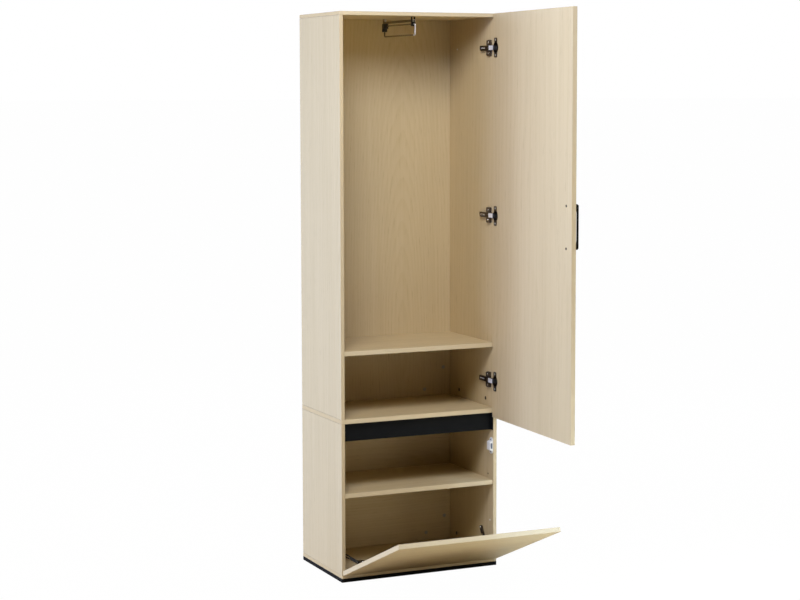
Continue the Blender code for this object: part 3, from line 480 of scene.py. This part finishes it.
def make_finishes():
    """Every finish but the ash boards', which each have their own."""
    finishes = {"black_laminate": black_laminate(), "black_enamel": powder_coat(),
                "link_nickel": link_nickel(), "plate_nickel": plate_nickel(),
                "rail_chrome": rail_chrome()}
    for name, rough in MOULDED.items():
        finishes[name] = moulded(name, rough)
    for name, (rough, tarnish) in BRUSHED.items():
        finishes[name] = brushed_metal(name, rough, tarnish)
    return finishes


# Boards whose grain stands upright; it runs across on all others
UPRIGHT = ("lower_left_side", "lower_right_side", "upper_left_side", "upper_right_side",
           "upper_back", "door_panel")
ASH_BOARDS = UPRIGHT + ("lower_bottom", "lower_back", "lower_shelf", "upper_bottom",
                        "upper_shelf", "upper_top", "flap_panel")
TILTED = {"door_panel": DOOR_LEAF, "flap_panel": FLAP_LEAF}

# Shift of a board's rings on x, y and z: first value, step from board to board and wrap
RING_SHIFTS = ((0.31, 0.47, 0.9), (0.16, 0.29, 0.5), (0.4, 1.37, 3.1))
PLAIN_FLAME = 0.055
FLAMES = {"upper_back": ((-0.09, -0.172, -0.70), 0.13),
          "lower_back": ((0.05, -0.180, -0.30), 0.16)}

# Nodes whose finish differs from that of their slot
OWN_FINISH = {"rail_wire": "rail_chrome", "rail_track": "rail_chrome"}
for word in ("bottom", "middle", "top"):
    OWN_FINISH[f"door_hinge_{word}_link"] = "link_nickel"
    OWN_FINISH[f"door_hinge_{word}_plate"] = "plate_nickel"
for word in ("left", "right"):
    # Painted shade: the flap hinges' links take dark nickel where the same links on the door are
    # bright
    OWN_FINISH[f"flap_hinge_{word}_link"] = "dark_nickel"
    OWN_FINISH[f"stay_bracket_{word}"] = "dark_nickel"
    OWN_FINISH[f"stay_arm_{word}"] = "black_enamel"


def board_through(name):
    """Direction through a board, its middle along that direction, and half its thickness."""
    if name in TILTED:
        leaf = TILTED[name]
        thin = leaf.to_3x3().col[1].normalized()
        return tuple(thin), thin.dot(leaf @ Vector((0.0, LEAF_MIDDLE, 0.0))), LEAF_HALF
    low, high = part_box(name)
    size = high - low
    axis = min(range(3), key=lambda index: size[index])
    return (X_AXIS, Y_AXIS, Z_AXIS)[axis], (low[axis] + high[axis]) / 2, size[axis] / 2


def read_board(index, name):
    """Grain, thickness, rings and edge bands of a board."""
    thin, middle, half = board_through(name)
    shift = tuple(first + step * index % wrap for first, step, wrap in RING_SHIFTS)
    shift, flame = FLAMES.get(name, (shift, PLAIN_FLAME))
    grain = "Z" if name in UPRIGHT else "X"
    # The left sides' edge bands take painted shade
    tape = ASH_SHADED_SIDE_BAND if name.endswith("left_side") else ASH_BAND
    end_tape = ASH_FLAP_END if name == "flap_panel" else ASH_END
    return Board(name, grain, thin, middle, half, shift, flame, tape, end_tape)


def dress_nodes(nodes, finishes, slots):
    """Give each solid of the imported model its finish."""
    ash = {name: ash_laminate(read_board(index, name)) for index, name in enumerate(ASH_BOARDS)}
    for name, solid in nodes.items():
        finish = ash[name] if name in ash else finishes[OWN_FINISH.get(name, slots[name])]
        for slot in solid.material_slots:
            slot.material = finish


def node_slots(record):
    """Material slot of each node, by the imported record."""
    return {entry["node"]: entry["material_slot"] for entry in record["subparts"]}


# Fastener heads: their sizes by name, then those of each kind in that order
HEAD_SIZES = ("Head radius", "Head height", "Recess length", "Recess width", "Recess depth")
WOOD_HEAD = (0.0036, 0.0012, 0.0042, 0.0011, 0.0008)
MACHINE_HEAD = (0.0036, 0.0014, 0.0046, 0.0012, 0.0010)
HANDLE_HEAD = (0.0042, 0.0021, 0.0048, 0.0013, 0.0012)
STAY_HEAD = (0.0042, 0.0018, 0.0046, 0.0012, 0.0010)
CATCH_HEAD = (0.0034, 0.0012, 0.0040, 0.0011, 0.0009)
CAM_HEAD = (0.0060, 0.0007, 0.0066, 0.0016, 0.0006)
SMALL_HEAD = (0.0032, 0.0008, 0.0034, 0.0010, 0.0006)
BACK_HEAD = (0.0040, 0.0013, 0.0046, 0.0012, 0.0009)
RECESS_CLEARANCE = 0.0004
SHARP_ANGLE = radians(40.0)

# Screws in the hinge frames by x and y, and how far a pair stands from its middle
CUP_SCREW, CUP_SPREAD = (-0.0125, 0.0105), 0.0245
DOOR_PLATE_SCREW = (-0.0098, 0.0415)
FLAP_PLATE_SCREW = (0.0012, 0.0415)
PLATE_SPREAD = 0.0165
CLAMP_SCREW = (-0.0114, 0.0800)
ADJUSTING_SCREW = (-0.0114, 0.0465)
HANDLE_SCREW, HANDLE_MIDDLE, HANDLE_SPREAD = (-0.504, LEAF_MIDDLE + LEAF_HALF), 1.14675, 0.064

# Fasteners in the case: catch by x and y, sides by y and z, backs by x and z
INWARD = (-1, 0, 0)
STAY_RIVET = (0.2562, -0.0865, 0.111)
CATCH_SCREW, CATCH_MIDDLE, CATCH_SPREAD = (0.2597, -0.1565), 0.397, 0.0205
SIDE_CAMS = ((-0.1105, UPPER_FLOOR + 0.025), (0.0855, UPPER_FLOOR + 0.025),
             (0.1035, LOWER_FLOOR + 0.026))
BACK_CAMS = ((0.237, UPPER_FLOOR + 0.0945), (0.167, UPPER_FLOOR + 0.0225),
             (0.241, LOWER_FLOOR + 0.079), (0.172, LOWER_FLOOR + 0.026))
PIN_HOLES = ((-0.1295, 0.299),)
CAP_DOTS = ((-0.1445, 0.147), (0.1005, 1.691))
BACK_SCREW_ROWS = (0.277, 0.7305)
BACK_SCREW_COLUMNS = (-0.21, -0.07, 0.07, 0.21)


def heads_tree():
    """Geometry nodes: an oval head with a cross recess on every point, turned to its aim."""
    group = bpy.data.node_groups.new("cross_recess_heads", "GeometryNodeTree")
    sockets = group.interface
    sockets.new_socket("Places", in_out="INPUT", socket_type="NodeSocketGeometry")
    for label in HEAD_SIZES:
        sockets.new_socket(label, in_out="INPUT", socket_type="NodeSocketFloat")
    sockets.new_socket("Finish", in_out="INPUT", socket_type="NodeSocketMaterial")
    sockets.new_socket("Heads", in_out="OUTPUT", socket_type="NodeSocketGeometry")
    tree = Tree(group)
    inputs = tree.node("NodeGroupInput").output.node.outputs
    given = {item.name: Socket(tree, item) for item in inputs if item.name}
    radius, height, length, width, depth = (given[label] for label in HEAD_SIZES)

    def vector(x, y, z):
        return tree.node("ShaderNodeCombineXYZ", None, {"X": x, "Y": y, "Z": z})

    ball = tree.node("GeometryNodeMeshUVSphere", None,
                     {"Segments": 20, "Rings": 10, "Radius": 1.0})
    head = tree.node("GeometryNodeTransform", None,
                     {"Geometry": ball, "Scale": vector(radius, radius, height)})
    lift = vector(0.0, 0.0, height - depth * 0.5 + RECESS_CLEARANCE / 2)
    deep = depth + RECESS_CLEARANCE
    bars = []
    for size in (vector(length, width, deep), vector(width, length, deep)):
        bar = tree.node("GeometryNodeMeshCube", None, {"Size": size})
        bars.append(tree.node("GeometryNodeTransform", None,
                              {"Geometry": bar, "Translation": lift}))
    cross = tree.node("GeometryNodeMeshBoolean", {"operation": "UNION"}, {"Mesh 2": bars})
    recessed = tree.node("GeometryNodeMeshBoolean", {"operation": "DIFFERENCE"},
                         {"Mesh 1": head, "Mesh 2": cross})
    aim = tree.node("GeometryNodeInputNamedAttribute", {"data_type": "FLOAT_VECTOR"},
                    {"Name": "aim"})
    turned = tree.node("FunctionNodeAlignRotationToVector", {"axis": "Z"}, {"Vector": aim})
    angle = tree.node("FunctionNodeRandomValue", {"data_type": "FLOAT"},
                      {2: 0.0, 3: pi / 2, "Seed": 7}, 1)
    spin = tree.node("FunctionNodeAxisAngleToRotation", None, {"Axis": Z_AXIS, "Angle": angle})
    turned = tree.node("FunctionNodeRotateRotation", {"rotation_space": "LOCAL"},
                       {"Rotation": turned, "Rotate By": spin})
    placed = tree.node("GeometryNodeInstanceOnPoints", None,
                       {"Points": given["Places"], "Instance": recessed, "Rotation": turned})
    real = tree.node("GeometryNodeRealizeInstances", None, {"Geometry": placed})
    dressed = tree.node("GeometryNodeSetMaterial", None,
                        {"Geometry": real, "Material": given["Finish"]})
    tree.node("NodeGroupOutput", None, {"Heads": dressed})
    return group


def fasten(tree, finishes, name, body, places, head, finish, slot):
    """One mesh of heads for a body; places pair a point with the direction the head faces."""
    points = bpy.data.meshes.new(name + "_places")
    points.from_pydata([point for point, aim in places], [], [])
    aims = points.attributes.new("aim", "FLOAT_VECTOR", "POINT")
    aims.data.foreach_set("vector", [number for point, aim in places for number in aim])
    carrier = bpy.data.objects.new(name, points)
    bpy.context.collection.objects.link(carrier)
    heads = carrier.modifiers.new("heads", "NODES")
    heads.node_group = tree
    values = dict(zip(HEAD_SIZES, head), Finish=finishes[finish])
    for item in tree.interface.items_tree:
        if item.in_out == "INPUT" and item.name in values:
            heads[item.identifier] = values[item.name]
    bpy.context.view_layer.update()
    evaluated = carrier.evaluated_get(bpy.context.evaluated_depsgraph_get())
    mesh = bpy.data.meshes.new_from_object(evaluated)
    carrier.modifiers.clear()
    carrier.data = mesh
    mesh.name = name
    for face in mesh.polygons:
        face.use_smooth = True
    mesh.set_sharp_from_angle(angle=SHARP_ANGLE)
    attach(carrier, body)


def framed(matrix, points, aim):
    """Points of a hinge frame and one direction there, brought into the wardrobe's frame."""
    turned = tuple(matrix.to_3x3() @ Vector(aim))
    return [(tuple(matrix @ Vector(point)), turned) for point in points]


def pairs(spot, middles, spread):
    """Two points for each middle, below and above it."""
    return [(*spot, middle + side * spread) for middle in middles for side in SIDES]


def on_sides(spots):
    """Spots on the inner faces of both sides, facing inward."""
    return [((side * INNER_X, y, z), (-side, 0, 0)) for side in SIDES for y, z in spots]


def hinge_screws():
    """Wood screws of cups and plates, and the two machine screws of each arm."""
    door_cups = framed(DOOR_LEAF, pairs(CUP_SCREW, DOOR_HINGES, CUP_SPREAD), Y_AXIS)
    flap_cups = framed(FLAP_LEAF, pairs(CUP_SCREW, FLAP_HINGES, CUP_SPREAD), Y_AXIS)
    plates = framed(DOOR_AXIS, pairs(DOOR_PLATE_SCREW, DOOR_HINGES, PLATE_SPREAD), INWARD)
    plates += framed(FLAP_AXIS, pairs(FLAP_PLATE_SCREW, FLAP_HINGES, PLATE_SPREAD), INWARD)
    rows = [("door_cup_screws", "door", door_cups, WOOD_HEAD, "cast_zinc", "zinc_steel"),
            ("flap_cup_screws", "flap", flap_cups, WOOD_HEAD, "cast_zinc", "zinc_steel"),
            ("plate_screws", "carcass", plates, WOOD_HEAD, "bright_steel", "bright_steel")]
    for name, spot, finish in (("clamp_screws", CLAMP_SCREW, "bright_steel"),
                               ("adjusting_screws", ADJUSTING_SCREW, "dark_nickel")):
        arms = framed(DOOR_AXIS, [(*spot, height) for height in DOOR_HINGES], INWARD)
        arms += framed(FLAP_AXIS, [(*spot, height) for height in FLAP_HINGES], INWARD)
        rows.append((name, "carcass", arms, MACHINE_HEAD, finish, finish))
    return rows


def other_screws():
    """Screws of handle, stays and catch."""
    handle = pairs(HANDLE_SCREW, (HANDLE_MIDDLE,), HANDLE_SPREAD)
    handle = framed(DOOR_LEAF, handle, Y_AXIS)
    x, y, z = STAY_RIVET
    stays = [((side * x, y, z), (-side, 0, 0)) for side in SIDES]
    catch = [(point, INWARD) for point in pairs(CATCH_SCREW, (CATCH_MIDDLE,), CATCH_SPREAD)]
    return [("handle_screws", "door", handle, HANDLE_HEAD, "dark_nickel", "dark_nickel"),
            ("stay_screws", "carcass", stays, STAY_HEAD, "bright_steel", "bright_steel"),
            ("catch_screws", "carcass", catch, CATCH_HEAD, "dark_nickel", "dark_nickel")]


def case_fasteners():
    """Cam fasteners, dark discs of painted shade in spare pin holes, cap dots, and the screws seen
    from behind.
    """
    cams = [((side * x, BACK_FACE, z), (0, -1, 0)) for side in SIDES for x, z in BACK_CAMS]
    screws = [((x, BACK, z), (0, 1, 0)) for z in BACK_SCREW_ROWS for x in BACK_SCREW_COLUMNS]
    holes, dots = on_sides(PIN_HOLES), on_sides(CAP_DOTS)
    # Painted shade: the side cams take dark nickel, dark like shaded holes, where the same cams on
    # the back take light zinc
    return [("side_cams", "carcass", on_sides(SIDE_CAMS), CAM_HEAD, "dark_nickel", "dark_nickel"),
            ("back_cams", "carcass", cams, CAM_HEAD, "cast_zinc", "zinc_steel"),
            # Painted shade: dark discs stand for the shade inside spare pin holes
            ("pin_hole_shade_discs", "carcass", holes, SMALL_HEAD, "dark_nickel", "dark_nickel"),
            ("cap_dots", "carcass", dots, SMALL_HEAD, "white_plastic", "white_plastic"),
            ("back_screws", "carcass", screws, BACK_HEAD, "zinc_steel", "zinc_steel")]


# Floor and surroundings
FLOOR_REACH = 400.0
FLOOR_Z = -0.0004
FLOOR_LIFT = 0.992
FLECK_SCALE = 300.0
PAPER_TONES = (rgb(0.71, 0.59, 0.40), rgb(0.73, 0.61, 0.42))
AMBIENT = 0.025
ROOM_TINT = rgb(1.0, 0.78, 0.40)

# Lamps: name, place, target, size, power, colour and spread in degrees
SOFTBOXES = (
    ("left_softbox", (-3.4, 0.12, 0.97), (0.0, 0.0, 0.95), (2.2, 2.4),
     112.0, (0.466, 0.567, 1.0), 180.0),
    ("left_rear_softbox", (-3.2, 1.4, 1.15), (0.0, 0.0, 0.9), (2.0, 2.4),
     82.0, (0.531, 0.699, 1.0), 180.0),
    ("near_softbox", (-0.80, -1.65, 2.6), (0.0, 0.0, 0.9), (0.9, 0.7),
     28.0, (0.520, 0.650, 1.0), 180.0),
    ("high_softbox", (-1.5, -2.2, 3.2), (0.0, 0.0, 0.9), (1.6, 1.2),
     63.0, (1.0, 0.900, 0.710), 180.0),
    ("floor_softbox", (1.3, -1.3, 1.6), (0.9, -1.2, 0.0), (0.8, 0.8),
     31.0, (0.500, 0.690, 1.0), 80.0),
    ("low_softbox", (1.6, -1.9, 0.35), (0.2, -0.4, 0.25), (1.0, 0.5),
     6.0, (1.0, 0.86, 0.62), 180.0),
    ("rising_softbox", (0.10, -1.90, 0.45), (-0.20, 0.15, 1.85), (0.4, 0.4),
     0.13, (1.0, 0.78, 0.25), 24.0),
    ("right_softbox", (3.6, 1.0, 2.2), (0.0, 0.0, 1.0), (2.4, 2.4),
     130.0, (0.50, 0.62, 1.0), 180.0),
    ("back_softbox", (0.9, 4.0, 2.4), (0.0, 0.0, 1.0), (2.8, 2.0),
     95.0, (0.50, 0.62, 1.0), 180.0),
)

# Camera
CAMERA_PLACE = (-2.5610, -5.6285, 1.5489)
CAMERA_YAW = radians(24.5111)
CAMERA_PITCH = radians(5.1545)
CAMERA_ROLL = radians(-0.1285)
CAMERA_LENS = 85.602
CAMERA_SENSOR = 36.0
CAMERA_SHIFT = -0.045
CAMERA_REACH = 1000.0


def make_floor(scene):
    """Pale paper under the wardrobe, seen almost white."""
    mesh = bpy.data.meshes.new("studio_floor")
    corners = ((-1, -1), (1, -1), (1, 1), (-1, 1))
    mesh.from_pydata([(x * FLOOR_REACH, y * FLOOR_REACH, FLOOR_Z) for x, y in corners], [],
                     [(0, 1, 2, 3)])
    floor = bpy.data.objects.new("studio_floor", mesh)
    scene.collection.objects.link(floor)
    paper = Finish("studio_paper")
    tint = paper.mix(paper.noise(paper.place, FLECK_SCALE), *PAPER_TONES)
    matt = paper.node("ShaderNodeBsdfDiffuse", None, {"Color": tint})
    lit = paper.node("ShaderNodeEmission", None, {"Color": WHITE, "Strength": 1.0})
    seen = paper.node("ShaderNodeLightPath", output="Is Camera Ray")
    surface = paper.node("ShaderNodeMixShader", None, {0: seen * FLOOR_LIFT, 1: matt, 2: lit})
    paper.node("ShaderNodeOutputMaterial", None, {"Surface": surface})
    mesh.materials.append(paper.material)


def make_surroundings(scene):
    """A dim warm room that is seen white."""
    world = bpy.data.worlds.new("studio_surroundings")
    world.use_nodes = True
    world.node_tree.nodes.clear()
    scene.world = world
    sky = Tree(world.node_tree)
    seen = sky.node("ShaderNodeLightPath", output="Is Camera Ray")
    room = sky.node("ShaderNodeBackground", None, {"Color": ROOM_TINT, "Strength": AMBIENT})
    white = sky.node("ShaderNodeBackground", None, {"Color": WHITE, "Strength": 1.0})
    glow = sky.node("ShaderNodeMixShader", None, {0: seen, 1: room, 2: white})
    sky.node("ShaderNodeOutputWorld", None, {"Surface": glow})


def make_lamps(scene):
    """Soft boxes, the main ones on the left and above the front."""
    for name, place, target, size, power, color, spread in SOFTBOXES:
        lamp = bpy.data.lights.new(name, "AREA")
        lamp.shape = "RECTANGLE"
        lamp.size, lamp.size_y = size
        lamp.energy = power
        lamp.color = color
        lamp.spread = radians(spread)
        box = bpy.data.objects.new(name, lamp)
        box.location = place
        heading = Vector(target) - Vector(place)
        box.rotation_euler = heading.to_track_quat("-Z", "Y").to_euler()
        scene.collection.objects.link(box)


def make_camera(scene):
    """The photograph's camera."""
    lens = bpy.data.cameras.new("photo_camera")
    lens.lens = CAMERA_LENS
    lens.sensor_width = CAMERA_SENSOR
    lens.shift_y = CAMERA_SHIFT
    lens.clip_end = CAMERA_REACH
    camera = bpy.data.objects.new("photo_camera", lens)
    camera.location = CAMERA_PLACE
    level = Euler((pi / 2 - CAMERA_PITCH, 0.0, -CAMERA_YAW), "XYZ").to_matrix()
    camera.rotation_euler = (level @ Matrix.Rotation(CAMERA_ROLL, 3, "Z")).to_euler()
    scene.collection.objects.link(camera)
    scene.camera = camera


def make_studio():
    """Floor, surroundings, lamps and camera."""
    scene = bpy.context.scene
    scene.view_settings.view_transform = "Standard"
    make_floor(scene)
    make_surroundings(scene)
    make_lamps(scene)
    make_camera(scene)


def main():
    for thing in list(bpy.data.objects):
        bpy.data.objects.remove(thing)
    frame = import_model()
    finishes = make_finishes()
    make_studio()
    dress_nodes(frame["nodes"], finishes, node_slots(frame["record"]))
    tree = heads_tree()
    for row in hinge_screws() + other_screws() + case_fasteners():
        fasten(tree, finishes, *row)


main()
